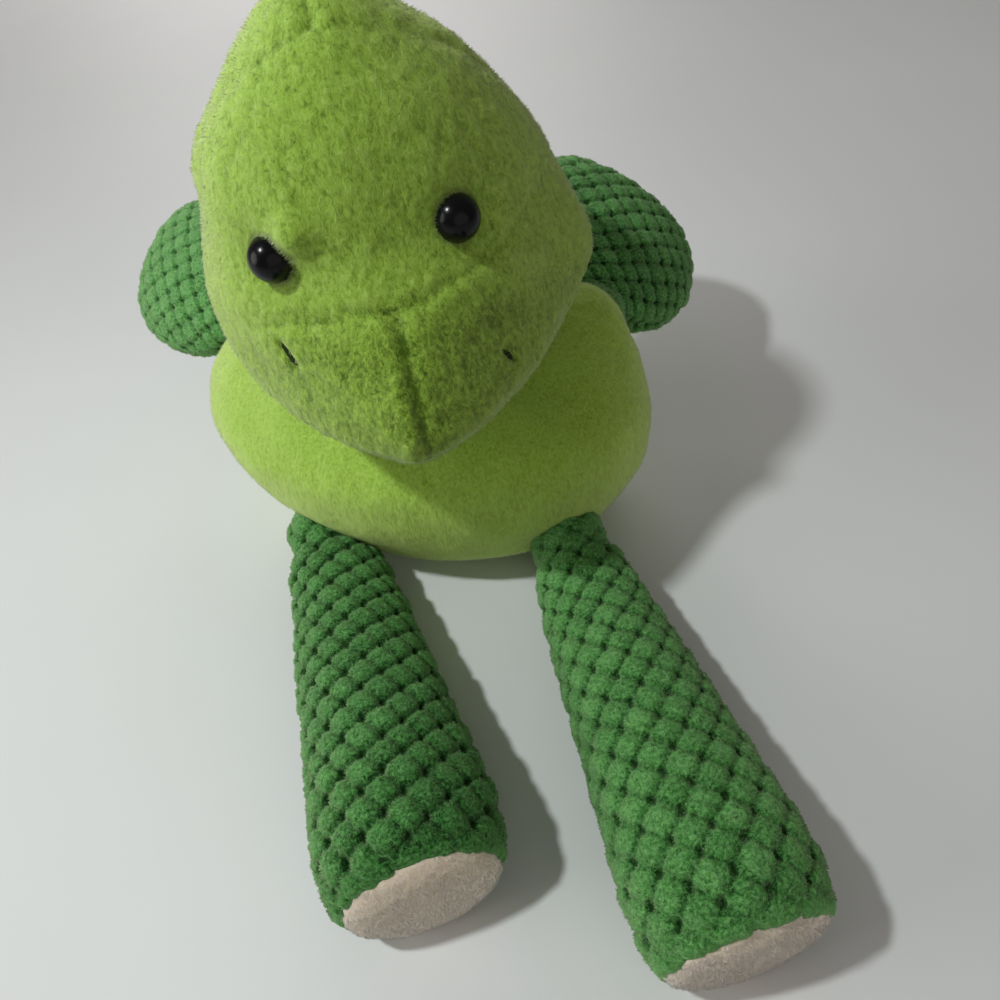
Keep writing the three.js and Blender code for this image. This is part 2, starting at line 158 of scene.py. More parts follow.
def between_rows(rows, share):
    """Share of length, half width, half depth and shift of the middle, smoothly between the rows."""
    place = share * (len(rows) - 1)
    first = min(int(place), len(rows) - 2)
    t = place - first
    picked = [rows[clamp(first + step, 0, len(rows) - 1)] for step in (-1, 0, 1, 2)]
    return [0.5 * (2 * b + (c - a) * t + (2 * a - 5 * b + 4 * c - d) * t * t
                   + (3 * b - a - 3 * c + d) * t ** 3)
            for a, b, c, d in zip(*picked)]


def stuffed_form(rows, half_width, half_depth, length, lean=0.0, lies_at=None, sway=0.0):
    """A closed form that swells and tapers along +Z. One that lies on the floor keeps its underside
    level. A row's fifth value draws its front to a point, which sway moves aside."""
    form = bmesh.new()
    bmesh.ops.create_uvsphere(form, u_segments=64, v_segments=48, radius=1)
    for point in form.verts:
        turn = math.atan2(point.co.y, point.co.x)
        from_end = math.acos(clamp(point.co.z, -1, 1)) / math.pi
        share, wide, deep, shift, *drawn = between_rows(rows, from_end)
        pointed = max(0, drawn[0]) if drawn else 0
        across, depth = math.cos(turn), math.sin(turn)
        front = max(0, -depth)
        if front:
            across = math.copysign(abs(across) ** (1 + pointed), across)
            depth = -front ** (1 + pointed)
        middle = shift * (half_depth if lies_at is None else half_depth * deep - lies_at)
        point.co = (lean * share + sway * pointed * front ** 2 + half_width * wide * across,
                    middle + half_depth * deep * depth,
                    length * share)
    return form


def bulge(form, spot, push, reach):
    """Pushes a form out, or in, around a spot."""
    for point in form.verts:
        point.co += Vector(push) * math.exp(-((point.co - Vector(spot)).length / reach) ** 2)


def new_piece(name, form):
    """An object with smooth faces from a form, which is used up."""
    mesh = bpy.data.meshes.new(name)
    form.to_mesh(mesh)
    form.free()
    mesh.shade_smooth()
    piece = bpy.data.objects.new(name, mesh)
    scene.collection.objects.link(piece)
    return piece


def take_modifiers(piece):
    """Makes what the modifiers show the piece's own mesh."""
    shown = piece.evaluated_get(bpy.context.evaluated_depsgraph_get())
    mesh = bpy.data.meshes.new_from_object(shown)
    piece.modifiers.clear()
    piece.vertex_groups.clear()
    old = piece.data
    piece.data = mesh
    bpy.data.meshes.remove(old)


def remesh(piece, step):
    """Gives the piece an even mesh of squares about one step wide."""
    even = piece.modifiers.new("even_mesh", "REMESH")
    even.mode = "VOXEL"
    even.voxel_size = step
    take_modifiers(piece)


def fill_out(piece, sewn_down, most):
    """Blows the cloth out between the seams that hold it, and lets no point go further than most."""
    frames = 20
    before = [point.co.copy() for point in piece.data.vertices]
    held = piece.vertex_groups.new(name="sewn_down")
    held.add([i for i, place in enumerate(before) if sewn_down(place)], 1.0, "REPLACE")
    cloth = piece.modifiers.new("cloth", "CLOTH")
    cloth.settings.vertex_group_mass = "sewn_down"
    cloth.settings.use_pressure = True
    cloth.settings.uniform_pressure_force = 4
    cloth.settings.effector_weights.gravity = 0
    cloth.point_cache.frame_end = frames
    for step in range(1, frames + 1):
        scene.frame_set(step)
    take_modifiers(piece)
    scene.frame_set(1)
    for point, place in zip(piece.data.vertices, before):
        moved = point.co - place
        if moved.length > most:
            point.co = place + moved.normalized() * most


def refine(piece, levels=2):
    """Rounds the piece off and makes its mesh fine enough for seams and nubs."""
    finer = piece.modifiers.new("finer", "SUBSURF")
    finer.levels = levels
    finer.render_levels = levels
    take_modifiers(piece)


def groove(distance, depth, width):
    """A seam: the cloth is pulled in along it and stands up a little on both sides."""
    near = (distance / width) ** 2
    return depth * (0.25 * math.exp(-near / 9) - 1.2 * math.exp(-near))


def raise_pile(piece, surface):
    """Moves each point of the cloth along its normal, and keeps how light the pile is there, its own tone
    with any painted shade or light, as an attribute.
    """
    lowest = 0.0003
    mesh = piece.data
    tone_and_painted_light = mesh.attributes.new("tone_and_painted_light", "FLOAT", "POINT")
    made = [(point.co.copy(), point.normal.copy()) for point in mesh.vertices]
    for i, (place, normal) in enumerate(made):
        lift, light = surface(place)
        moved = place + normal * lift
        moved.z = max(moved.z, lowest)
        mesh.vertices[i].co = moved
        tone_and_painted_light.data[i].value = light
    mesh.shade_smooth()


def sow_pile(name, piece, per_square_mm, length, width, lie, uneven, seed):
    """Fine pointed tufts all over a piece of cloth, each leaning the way that lie gives, none where it
    is None. Uneven, from 0 to 1, is how much each differs from the cloth around in shade and facing."""
    square_mm_per_square_m = 1e6
    stray, rooted, lowest_tip = 0.4, 0.15, 0.0004
    draw = random.Random(seed)
    mesh = piece.data
    mesh.calc_loop_triangles()
    tone_and_painted_light = [value.value for value in mesh.attributes["tone_and_painted_light"].data]
    tufts = bmesh.new()
    shade = tufts.verts.layers.float.new("tone_and_painted_light")
    facing = []
    for face in mesh.loop_triangles:
        wanted = face.area * square_mm_per_square_m * per_square_mm
        for _ in range(int(wanted) + (draw.random() < wanted % 1)):
            a, b = draw.random(), draw.random()
            if a + b > 1:
                a, b = 1 - a, 1 - b
            shares = (a, b, 1 - a - b)
            corners = [mesh.vertices[i] for i in face.vertices]
            root = sum((corner.co * share for corner, share in zip(corners, shares)), Vector())
            up = sum((corner.normal * share for corner, share in zip(corners, shares)), Vector())
            up.normalize()
            light = sum(tone_and_painted_light[i] * share for i, share in zip(face.vertices, shares))
            lean = lie(root, up)
            if lean is None:
                continue
            jitter = Vector((draw.uniform(-1, 1), draw.uniform(-1, 1), draw.uniform(-1, 1)))
            way = (up + lean + jitter * stray).normalized()
            tip = root + way * length * draw.uniform(0.6, 1.25)
            if tip.z < lowest_tip:
                continue
            side = way.orthogonal().normalized() * width * draw.uniform(0.7, 1.3)
            side.rotate(Matrix.Rotation(draw.uniform(0, math.tau), 3, way))
            third = Matrix.Rotation(math.tau / 3, 3, way)
            ring = []
            for _ in range(3):
                ring.append(tufts.verts.new(root - way * length * rooted + side))
                side = third @ side
            top = tufts.verts.new(tip)
            # Each tuft's tip is a little lighter than the cloth, with random tone as uneven allows. Its root
            # ring is darker as uneven allows, as painted shade down in the pile.
            top[shade] = light + 0.05 + draw.uniform(-0.35, 0.5) * uneven
            for corner in ring:
                corner[shade] = light - 0.2 * uneven
            facing += [(up * (1 - uneven) + way * uneven).normalized()] * 4
            for first, second in ((0, 1), (1, 2), (2, 0)):
                tufts.faces.new((ring[first], ring[second], top))
            tufts.faces.new((ring[2], ring[1], ring[0]))
    sown = new_piece(name, tufts)
    sown.data.normals_split_custom_set_from_vertices(facing)
    sown.visible_shadow = uneven > 0.3
    return sown


def math_node(nodes, operation, value):
    made = nodes.new("ShaderNodeMath")
    made.operation = operation
    made.inputs[1].default_value = value
    return made


def pile_grain():
    """Fine fibre grain that all the cloths share: how much lighter or darker each fibre is, and how high
    it stands. Where Drawn Out is below 1 the fibres run up and down."""
    group = bpy.data.node_groups.new("pile_grain", "ShaderNodeTree")
    for name, way in (("Scale", "INPUT"), ("Drawn Out", "INPUT"), ("Shade", "OUTPUT"), ("Height", "OUTPUT")):
        group.interface.new_socket(name, in_out=way, socket_type="NodeSocketFloat")
    made, join = group.nodes, group.links
    ends_in, ends_out = made.new("NodeGroupInput"), made.new("NodeGroupOutput")
    place = made.new("ShaderNodeTexCoord")
    upward = made.new("ShaderNodeCombineXYZ")
    upward.inputs["X"].default_value = 1
    upward.inputs["Y"].default_value = 1
    drawn_out = made.new("ShaderNodeVectorMath")
    drawn_out.operation = "MULTIPLY"
    clumps, fibres = made.new("ShaderNodeTexNoise"), made.new("ShaderNodeTexNoise")
    clumps.inputs["Detail"].default_value = 3
    clumps.inputs["Distortion"].default_value = 0.7
    fibres.inputs["Detail"].default_value = 2
    finer = math_node(made, "MULTIPLY", 4)
    mixed = math_node(made, "MULTIPLY_ADD", 0.4)
    centred = math_node(made, "SUBTRACT", 0.7)
    join.new(ends_in.outputs["Scale"], clumps.inputs["Scale"])
    join.new(ends_in.outputs["Scale"], finer.inputs[0])
    join.new(finer.outputs[0], fibres.inputs["Scale"])
    join.new(ends_in.outputs["Drawn Out"], upward.inputs["Z"])
    join.new(place.outputs["Object"], drawn_out.inputs[0])
    join.new(upward.outputs[0], drawn_out.inputs[1])
    for cloud in (clumps, fibres):
        join.new(drawn_out.outputs[0], cloud.inputs["Vector"])
    join.new(fibres.outputs["Fac"], mixed.inputs[0])
    join.new(clumps.outputs["Fac"], mixed.inputs[2])
    join.new(mixed.outputs[0], centred.inputs[0])
    join.new(centred.outputs[0], ends_out.inputs["Shade"])
    join.new(mixed.outputs[0], ends_out.inputs["Height"])
    return group


grain = pile_grain()


def cloth_material(name, deep, middle, light, edge, grain_scale, drawn_out, contrast, relief):
    """Pile cloth: deep colour down between the fibres, lighter towards the fibre ends, by a ramp that follows
    the pile's tone together with the painted shade and light that the surface gives; and a painted sheen of
    the edge colour where the surface turns away from the view, because there only the fibre ends show."""
    made, nodes, links, shader = new_material(name)
    shader.inputs["Roughness"].default_value = 0.95
    shader.inputs["Specular IOR Level"].default_value = 0.1
    shader.inputs["Subsurface Weight"].default_value = 0.6
    shader.inputs["Subsurface Radius"].default_value = (1, 1, 0.6)
    shader.inputs["Subsurface Scale"].default_value = 0.0012
    shader.inputs["Sheen Weight"].default_value = 0.25
    shader.inputs["Sheen Roughness"].default_value = 0.4
    shader.inputs["Sheen Tint"].default_value = edge
    fibre = nodes.new("ShaderNodeGroup")
    fibre.node_tree = grain
    fibre.inputs["Scale"].default_value = grain_scale
    fibre.inputs["Drawn Out"].default_value = drawn_out
    tone_and_painted_light = nodes.new("ShaderNodeAttribute")
    tone_and_painted_light.attribute_name = "tone_and_painted_light"
    total = math_node(nodes, "MULTIPLY_ADD", contrast)
    ramp = nodes.new("ShaderNodeValToRGB")
    ramp.color_ramp.elements[0].position = 0.1
    ramp.color_ramp.elements[0].color = deep
    ramp.color_ramp.elements[1].position = 0.9
    ramp.color_ramp.elements[1].color = light
    ramp.color_ramp.elements.new(0.5).color = middle
    # Painted sheen: the colour is mixed towards the edge colour as the surface turns away from the view.
    turned_away = nodes.new("ShaderNodeLayerWeight")
    turned_away.inputs["Blend"].default_value = 0.3
    painted_sheen = colour_mix(nodes, middle, edge)
    bump = nodes.new("ShaderNodeBump")
    bump.inputs["Strength"].default_value = relief
    bump.inputs["Distance"].default_value = 0.0008
    links.new(fibre.outputs["Shade"], total.inputs[0])
    links.new(tone_and_painted_light.outputs["Fac"], total.inputs[2])
    links.new(total.outputs[0], ramp.inputs["Fac"])
    links.new(turned_away.outputs["Facing"], painted_sheen.inputs["Factor"])
    links.new(ramp.outputs["Color"], painted_sheen.inputs[MIX_FIRST])
    links.new(painted_sheen.outputs[MIX_RESULT], shader.inputs["Base Color"])
    links.new(fibre.outputs["Height"], bump.inputs["Height"])
    links.new(bump.outputs["Normal"], shader.inputs["Normal"])
    return made


lime_plush = cloth_material(
    "lime_plush", deep=(0.14, 0.24, 0.016, 1), middle=(0.365, 0.565, 0.08, 1), light=(0.48, 0.69, 0.16, 1),
    edge=(0.57, 0.74, 0.25, 1), grain_scale=950, drawn_out=0.3, contrast=0.9, relief=0.45)


def body_surface(place):
    spot = body_home @ place
    lift = groove(spot.z - seat_seam, depth=0.0012, width=0.0018)
    if spot.z > seat_seam:
        lift += groove(spot.y - side_seam, depth=0.0004, width=0.002)
        if spot.y > side_seam:
            lift += groove(spot.x, depth=0.0014, width=0.002)
    streak = noise.noise(Vector((place.x * 520, place.y * 520, place.z * 230)))
    soft = noise.noise(place * 60)
    # Besides random streaks and patches, the pile is painted darker where the seams pull the cloth in:
    # painted shade in their creases.
    light = middling_nap + 0.07 * streak + 0.06 * soft + 90 * min(0, lift)
    return lift + 0.00022 * streak + 0.0009 * soft, light


def held_at_seat(place):
    return place.z < 0.004 or abs((body_home @ place).z - seat_seam) < seam_hold


def hanging_down(place, up):
    """How the body's pile lies: down, with some swirl."""
    swirl = noise.noise_vector(place * 90)
    down = Vector((0, 0, -1)) - up * -up.z
    return down * 0.9 + swirl * 0.6


body_form = stuffed_form(BODY_ROWS, body_half_width, body_half_depth, body_height, body_lean)
bmesh.ops.transform(body_form, matrix=body_turn, verts=body_form.verts)
bulge(body_form, spot=(0.064, 0, 0.086), push=(0.006, 0, 0.012), reach=0.026)
for point in body_form.verts:
    point.co.z = max(point.co.z, 0)
body = new_piece("body_plush", body_form)
remesh(body, 0.005)
fill_out(body, held_at_seat, most=0.003)
refine(body)
body_skin = BVHTree.FromObject(body, bpy.context.evaluated_depsgraph_get())
raise_pile(body, body_surface)
body_pile = sow_pile("body_pile", body, per_square_mm=0.7, length=0.001, width=0.00016, lie=hanging_down,
                     uneven=0.12, seed=1)
for piece in (body, body_pile):
    piece.data.materials.append(lime_plush)
    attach(piece, "torso")
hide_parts("seat_panel", "belly_panel", "back_panel_left", "back_panel_right", "body_filling")


# Head. A peaked crown over a blunt muzzle, in a longer and more crushed lime plush: a crown panel,
# two muzzle panels, two back panels and a chin, sewn together and stuffed with fibre.
HEAD_ROWS = (
    (1, 0, 0, -0.1, 0), (0.97, 0.16, 0.15, -0.1, 0), (0.9, 0.34, 0.29, -0.09, 0),
    (0.78, 0.61, 0.47, -0.06, 0), (0.63, 0.84, 0.62, -0.01, 0), (0.51, 0.95, 0.72, 0.03, 0.05),
    (0.4, 1, 0.82, -0.04, 0.2), (0.28, 0.98, 0.88, -0.2, 0.55), (0.165, 0.86, 0.8, -0.4, 0.55),
    (0.08, 0.63, 0.57, -0.49, 0.5), (0.02, 0.36, 0.31, -0.47, 0.3), (0, 0, 0, -0.46, 0),
)
head_half_width, head_half_depth, head_height, head_lean = 0.066, 0.0705, 0.138, -0.004
head_swell, muzzle_side = 0.0012, -0.01
joint_places = {joint["name"]: Vector(joint["pos_m"]) for joint in frame["joints"]}
neck_place = joint_places["neck_turn"]
head_front, head_drop = 0.006, 0.004
head_low = neck_place.z - head_drop
face_middle, muzzle_middle = neck_place.x - 0.006, neck_place.x - 0.0035
brow_slope, crown_lean = math.radians(20), math.radians(35)
brow_point = neck_place + Vector((0, -0.056, 0.058 - head_drop))
brow_normal = Vector((0, math.sin(brow_slope), math.cos(brow_slope)))
crown_point = neck_place + Vector((0, 0.008, head_height / 2))
crown_normal = Vector((0, math.cos(crown_lean), math.sin(crown_lean)))
chin_height = head_low + 0.017
eye_bed, eye_rim = 0.006, 0.0085


def head_seams(place):
    """Distances to the seams that bound the panel in which a point of the head lies, and how deep each is."""
    side = place.x - neck_place.x
    behind_crown = (place - crown_point).dot(crown_normal)
    above_brow = (place - brow_point).dot(brow_normal)
    above_brow -= 0.25 * max(0, side - 0.005) + 0.45 * max(0, side - 0.031) - 0.3 * max(0, -side - 0.05)
    found = [(place.z - chin_height, 1)]
    if place.z > chin_height:
        found.append((behind_crown, 0.4))
        if behind_crown > 0:
            found.append((place.x - face_middle, 1))
        else:
            found.append((above_brow, clamp((side + 0.055) / 0.03, 0, 0.7) - clamp(side * 12, 0, 0.4)))
            if above_brow < 0:
                found.append((place.x - muzzle_middle, 1))
    return found


def held_by_seams(place):
    return any(abs(distance) < seam_hold and depth > 0.25 for distance, depth in head_seams(place))


def from_line(place, start, end):
    """Distance of a point from a straight line between two others."""
    share = (place - start).dot(end - start) / (end - start).length_squared
    return (place - start.lerp(end, clamp(share))).length


def head_surface(place):
    seams = head_seams(place)
    lift = sum(groove(distance, 0.0012, 0.0026) * depth for distance, depth in seams)
    pucker = noise.noise(place * 170) * max(0, 1 - min(abs(distance) for distance, _ in seams) / 0.011)
    lift += 0.0007 * pucker
    for spot, _ in eye_spots:
        lift -= 0.0014 * math.exp(-((place - spot).length / 0.0105) ** 2)
    lift += 0.0042 * math.exp(-((place - lid).length / 0.006) ** 2)
    for top, foot in nostril_ends:
        lift -= 0.0014 * math.exp(-(from_line(place, top, foot) / 0.0016) ** 2)
    clump = noise.noise(Vector((place.x * 330, place.y * 330, place.z * 130)))
    curl = noise.noise(place * 480)
    soft = noise.noise(place * 55)
    # The pile's tone varies in random clumps, curls and patches. It is painted darker where the cloth is
    # pulled in at seams, puckers, eyes and nostrils, and in a line along each seam: painted shade in those
    # creases and hollows. The muzzle below the brow is darker all over.
    below_brow = clamp((brow_point - place).dot(brow_normal) / 0.012)
    sewn = max(depth * math.exp(-(distance / 0.0014) ** 2) for distance, depth in seams)
    light = (0.53 + 0.12 * clump + 0.08 * curl + 0.05 * soft + 60 * min(0, lift)
             - 0.2 * below_brow - 0.2 * sewn * (1 + 2 * pucker))
    return lift + 0.0003 * clump + 0.0002 * curl + 0.0008 * soft, light


def crushed(place, up):
    """How the head's pile lies: in swirls and down, but none under an eye or a nostril's stitches."""
    for spot, _ in eye_spots:
        if (place - spot).length < eye_bed:
            return None
    for top, foot in nostril_ends:
        if from_line(place, top, foot) < 0.0007:
            return None
    swirl = noise.noise_vector(place * 160)
    down = Vector((0, -0.3, -1))
    down -= up * down.dot(up)
    return down * 0.6 + swirl * 1.1


def over_the_eye(place, up):
    """Longer pile in a ring round each eye, leaning over its rim."""
    for spot, _ in eye_spots:
        apart = spot - place
        if eye_bed < apart.length < eye_rim:
            return apart.normalized() * 0.5
    return None


head_form = stuffed_form(HEAD_ROWS, head_half_width - head_swell, head_half_depth - head_swell,
                         head_height - head_swell, head_lean, sway=muzzle_side)
bmesh.ops.translate(head_form, verts=head_form.verts, vec=neck_place - Vector((0, head_front, head_drop)))
for spot, sideways, reach in (
    ((0.054, -0.027, 0.138), 0.0085, 0.017),
    ((-0.072, -0.013, 0.174), 0.0058, 0.022),
    ((-0.064, -0.011, 0.191), -0.0042, 0.01),
    ((-0.052, -0.012, 0.207), 0.0018, 0.01),
):
    bulge(head_form, spot, (sideways, 0, 0), reach)
head = new_piece("head_plush", head_form)
remesh(head, 0.0042)
fill_out(head, held_by_seams, most=0.003)
refine(head)
head_skin = BVHTree.FromObject(head, bpy.context.evaluated_depsgraph_get())


def on_face(side, height):
    """Where a line from straight ahead meets the face, and which way the face looks there."""
    spot, out, _, _ = head_skin.ray_cast(Vector((side, -1, height)), Vector((0, 1, 0)))
    return spot, out


eye_spots = [on_face(-0.0455, head_low + 0.074), on_face(0.0115, head_low + 0.0755)]
lid = on_face(-0.0365, head_low + 0.0808)[0]
nostril_ends = [(on_face(-0.0512, 0.148)[0], on_face(-0.0484, 0.1416)[0]),
                (on_face(0.0176, 0.1333)[0], on_face(0.0203, 0.1283)[0])]
raise_pile(head, head_surface)
head_pile = sow_pile("head_pile", head, per_square_mm=0.8, length=0.001, width=0.00018, lie=crushed,
                     uneven=0.12, seed=2)
lashes = sow_pile("eye_rim_pile", head, per_square_mm=7, length=0.0018, width=0.00018, lie=over_the_eye,
                  uneven=0.2, seed=9)
crushed_plush = cloth_material(
    "crushed_lime_plush", deep=(0.065, 0.12, 0.009, 1), middle=(0.285, 0.45, 0.06, 1),
    light=(0.43, 0.61, 0.14, 1), edge=(0.42, 0.57, 0.18, 1), grain_scale=800, drawn_out=0.55, contrast=1,
    relief=0.45)
for piece in (head, head_pile, lashes):
    piece.data.materials.append(crushed_plush)
    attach(piece, "head")
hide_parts("crown_panel", "muzzle_panel_left", "muzzle_panel_right", "head_back_panel_left",
            "head_back_panel_right", "chin_panel", "head_filling")


# Neck. Short and mostly hidden between head and body: a firm wad of fibre that the head turns on, in a
# cup of the body's own cloth drawn together with a gathering thread.
neck_radius, neck_ease = 0.024, 0.0022
gathers, gathered_thick = 18, 0.0009


def stand_on(form, points, spot, out):
    """Stands points of a form made along +Z on a spot, upright to what lies there."""
    turn = out.to_track_quat("Z", "Y").to_matrix().to_4x4()
    bmesh.ops.transform(form, matrix=Matrix.Translation(spot) @ turn, verts=points)


def even_nap(piece):
    """Marks cloth that has no pile of its own as middling light all over."""
    tone_and_painted_light = piece.data.attributes.new("tone_and_painted_light", "FLOAT", "POINT")
    tone_and_painted_light.data.foreach_set("value", [middling_nap] * len(piece.data.vertices))


def gathered_cup(name, centre, radius, towards, rim, pleat):
    """A cup of cloth in pleats round a ball, from the side away from what the ball carries up to the rim."""
    form = bmesh.new()
    bmesh.ops.create_uvsphere(form, u_segments=72, v_segments=24, radius=radius)
    bmesh.ops.bisect_plane(form, geom=form.verts[:] + form.edges[:] + form.faces[:],
                           plane_co=(0, 0, rim * radius), plane_no=(0, 0, 1), clear_outer=True)
    for point in form.verts:
        turn = math.atan2(point.co.y, point.co.x)
        near_rim = (point.co.z / radius + 1) / (rim + 1)
        point.co *= 1 + pleat * near_rim * math.sin(gathers * turn)
    bmesh.ops.solidify(form, geom=form.faces[:], thickness=gathered_thick)
    bmesh.ops.recalc_face_normals(form, faces=form.faces[:])
    stand_on(form, form.verts, centre, towards)
    cup = new_piece(name, form)
    even_nap(cup)
    cup.data.materials.append(lime_plush)
    return cup


neck_cup = gathered_cup("neck_cloth", neck_place, neck_radius + neck_ease, Vector((0, 0, 1)),
                        rim=0.7, pleat=0.03)
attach(neck_cup, "neck_cup")
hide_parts("neck_gather")
wad_form = bmesh.new()
bmesh.ops.create_uvsphere(wad_form, u_segments=48, v_segments=32, radius=neck_radius)
for point in wad_form.verts:
    point.co *= 1 - 0.05 * abs(noise.noise(point.co * 120)) - 0.02 * abs(noise.noise(point.co * 420))
bmesh.ops.translate(wad_form, verts=wad_form.verts, vec=neck_place)
neck_wad = new_piece("neck_fibre_wad", wad_form)
even_nap(neck_wad)
white_fibre = cloth_material(
    "white_fibre", deep=(0.5, 0.49, 0.46, 1), middle=(0.74, 0.73, 0.7, 1), light=(0.86, 0.85, 0.83, 1),
    edge=(0.9, 0.9, 0.88, 1), grain_scale=300, drawn_out=1, contrast=0.5, relief=0.35)
neck_wad.data.materials.append(white_fibre)
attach(neck_wad, "neck_core")
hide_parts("neck_wad")


# Eyes. Black moulded domes on ridged stems, pushed through the crown's cloth and locked inside by
# pale plastic washers. The plush closes over their rims.
eye_radius, eye_dome, eye_sunk = 0.0073, 0.0076, 0.0014
stem_radius, stem_end = 0.002, -0.0078
stem_ridges, ridge_step, ridge_stands = 4, 0.001, 0.0002


def polished_plastic(name, colour, roughness):
    """Moulded plastic with faint flow marks and small rubs that make its gloss uneven."""
    made, nodes, links, shader = new_material(name)
    shader.inputs["Base Color"].default_value = colour
    shader.inputs["Specular IOR Level"].default_value = 0.2
    place = nodes.new("ShaderNodeTexCoord")
    rubs = nodes.new("ShaderNodeTexNoise")
    rubs.inputs["Scale"].default_value = 900
    rubs.inputs["Detail"].default_value = 6
    gloss = nodes.new("ShaderNodeMapRange")
    gloss.inputs["To Min"].default_value = roughness * 0.7
    gloss.inputs["To Max"].default_value = roughness * 1.4
    links.new(place.outputs["Object"], rubs.inputs["Vector"])
    links.new(rubs.outputs["Fac"], gloss.inputs["Value"])
    links.new(gloss.outputs["Result"], shader.inputs["Roughness"])
    return made


black_plastic = polished_plastic("black_eye_plastic", (0.003, 0.003, 0.004, 1), 0.2)
washer_plastic = polished_plastic("pale_washer_plastic", (0.72, 0.72, 0.7, 1), 0.4)
eye_profile = [(0, eye_dome)]
for degrees in range(8, 89, 8):
    slope = math.radians(degrees)
    eye_profile.append((eye_radius * math.sin(slope), eye_dome * math.cos(slope)))
eye_profile += [(eye_radius, 0), (eye_radius - 0.0003, -0.0007)]
eye_profile += [(stem_radius, -0.0009), (stem_radius, -0.003)]
for ridge in range(stem_ridges):
    ridge_height = -0.0035 - ridge_step * ridge
    eye_profile += [(stem_radius + ridge_stands, ridge_height),
                    (stem_radius - ridge_stands, ridge_height - ridge_step / 2)]
eye_profile.append((0, stem_end))
for side, (spot, out) in zip(("right", "left"), eye_spots):
    eye_form = bmesh.new()
    points = [eye_form.verts.new((reach, 0, height)) for reach, height in eye_profile]
    edges = [eye_form.edges.new(pair) for pair in zip(points, points[1:])]
    bmesh.ops.spin(eye_form, geom=points + edges, axis=(0, 0, 1), cent=(0, 0, 0), angle=math.tau, steps=40,
                   use_merge=True)
    bmesh.ops.remove_doubles(eye_form, verts=eye_form.verts[:], dist=1e-6)
    bmesh.ops.recalc_face_normals(eye_form, faces=eye_form.faces[:])
    stand_on(eye_form, eye_form.verts, spot - out * eye_sunk, out)
    eye = new_piece("eye_dome_" + side, eye_form)
    eye.data.materials.append(black_plastic)
    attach(eye, "head")
    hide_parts("eye_" + side)
    washer = frame["nodes"]["eye_washer_" + side]
    washer.data.materials.clear()
    washer.data.materials.append(washer_plastic)


# Nostrils. Each is three long stitches of dark green embroidery thread side by side, drawn tight into
# the muzzle's plush.
thread_radius, thread_sunk, stitch_step = 0.00042, 0.0009, 1.5
dark_thread, nodes, links, thread_shader = new_material("dark_green_thread")
thread_shader.inputs["Roughness"].default_value = 0.85
thread_shader.inputs["Specular IOR Level"].default_value = 0.2
thread_place = nodes.new("ShaderNodeTexCoord")
thread_twist = nodes.new("ShaderNodeTexWave")
thread_twist.inputs["Scale"].default_value = 900
thread_twist.inputs["Distortion"].default_value = 1.5
thread_tint = colour_mix(nodes, (0.012, 0.02, 0.006, 1), (0.035, 0.055, 0.014, 1))
thread_bump = nodes.new("ShaderNodeBump")
thread_bump.inputs["Distance"].default_value = 0.0002
links.new(thread_place.outputs["Object"], thread_twist.inputs["Vector"])
links.new(thread_twist.outputs["Fac"], thread_tint.inputs["Factor"])
links.new(thread_twist.outputs["Fac"], thread_bump.inputs["Height"])
links.new(thread_tint.outputs[MIX_RESULT], thread_shader.inputs["Base Color"])
links.new(thread_bump.outputs["Normal"], thread_shader.inputs["Normal"])
for side, (top, foot) in zip(("right", "left"), nostril_ends):
    along = foot - top
    centre = top.lerp(foot, 0.5)
    out = head_skin.find_nearest(centre)[1]
    across = along.cross(out).normalized()
    stitches = bmesh.new()
    for beside, share in ((-1, 0.82), (0, 1), (1, 0.86)):
        stitch = bmesh.ops.create_uvsphere(stitches, u_segments=10, v_segments=14, radius=1)["verts"]
        bmesh.ops.scale(stitches, vec=(thread_radius, thread_radius, along.length * share / 2), verts=stitch)
        stand_on(stitches, stitch, centre + across * beside * thread_radius * stitch_step - out * thread_sunk,
                 along)
    nostril = new_piece("nostril_thread_" + side, stitches)
    nostril.data.materials.append(dark_thread)
    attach(nostril, "head")
    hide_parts("nostril_stitch_" + side)


# Arms. Short flat mitts of green popcorn plush, a cloth woven into soft round nubs, sewn from two
# halves, stuffed and gathered onto the body's sides. Both reach back as the toy sits.
ARM_ROWS = (
    (1, 0, 0, 0), (0.97, 0.56, 0.56, 0), (0.88, 0.89, 0.89, 0), (0.72, 1, 1, 0), (0.5, 0.97, 0.96, 0),
    (0.3, 0.76, 0.74, 0), (0.15, 0.4, 0.44, 0), (0, 0, 0, 0),
)
arm_half_thick, arm_length, arm_root = 0.022, 0.09, 0.012
mitt_turn = math.radians(125)
nub_along, nub_across, nub_height = 0.0066, 0.0066, 0.0034
nub_room = nub_height * 0.8
slit_along, slit_across = 0.0027, 0.0018
root_cover, gather_cover, sewn_reach = 0.0028, 0.0004, 0.016


def nub_at(along, around, seed):
    """Height, from 0 to about 1, of nubs set like the squares of a chessboard stood on its corner, with a
    slit at each corner where four of them meet."""
    stray = noise.noise_vector(Vector((along * 70, around * 70, seed)))
    u = along / (2 * nub_along) + around / (2 * nub_across) + 0.12 * stray.x
    v = along / (2 * nub_along) - around / (2 * nub_across) + 0.12 * stray.y
    size = noise.cell(Vector((round(u) + 0.5, round(v) + 0.5, seed)))
    dip = max(0, (max(abs(u - round(u)), abs(v - round(v))) - 0.14) / 0.36)
    from_u, from_v = u - math.floor(u) - 0.5, v - math.floor(v) - 0.5
    slit = max(0, 1 - ((from_u + from_v) * nub_along / slit_along) ** 2
               - ((from_u - from_v) * nub_across / slit_across) ** 2)
    return (1 - 0.46 * dip * dip) * (1 - slit * slit * (3 - 2 * slit)) * (0.94 + 0.12 * size)


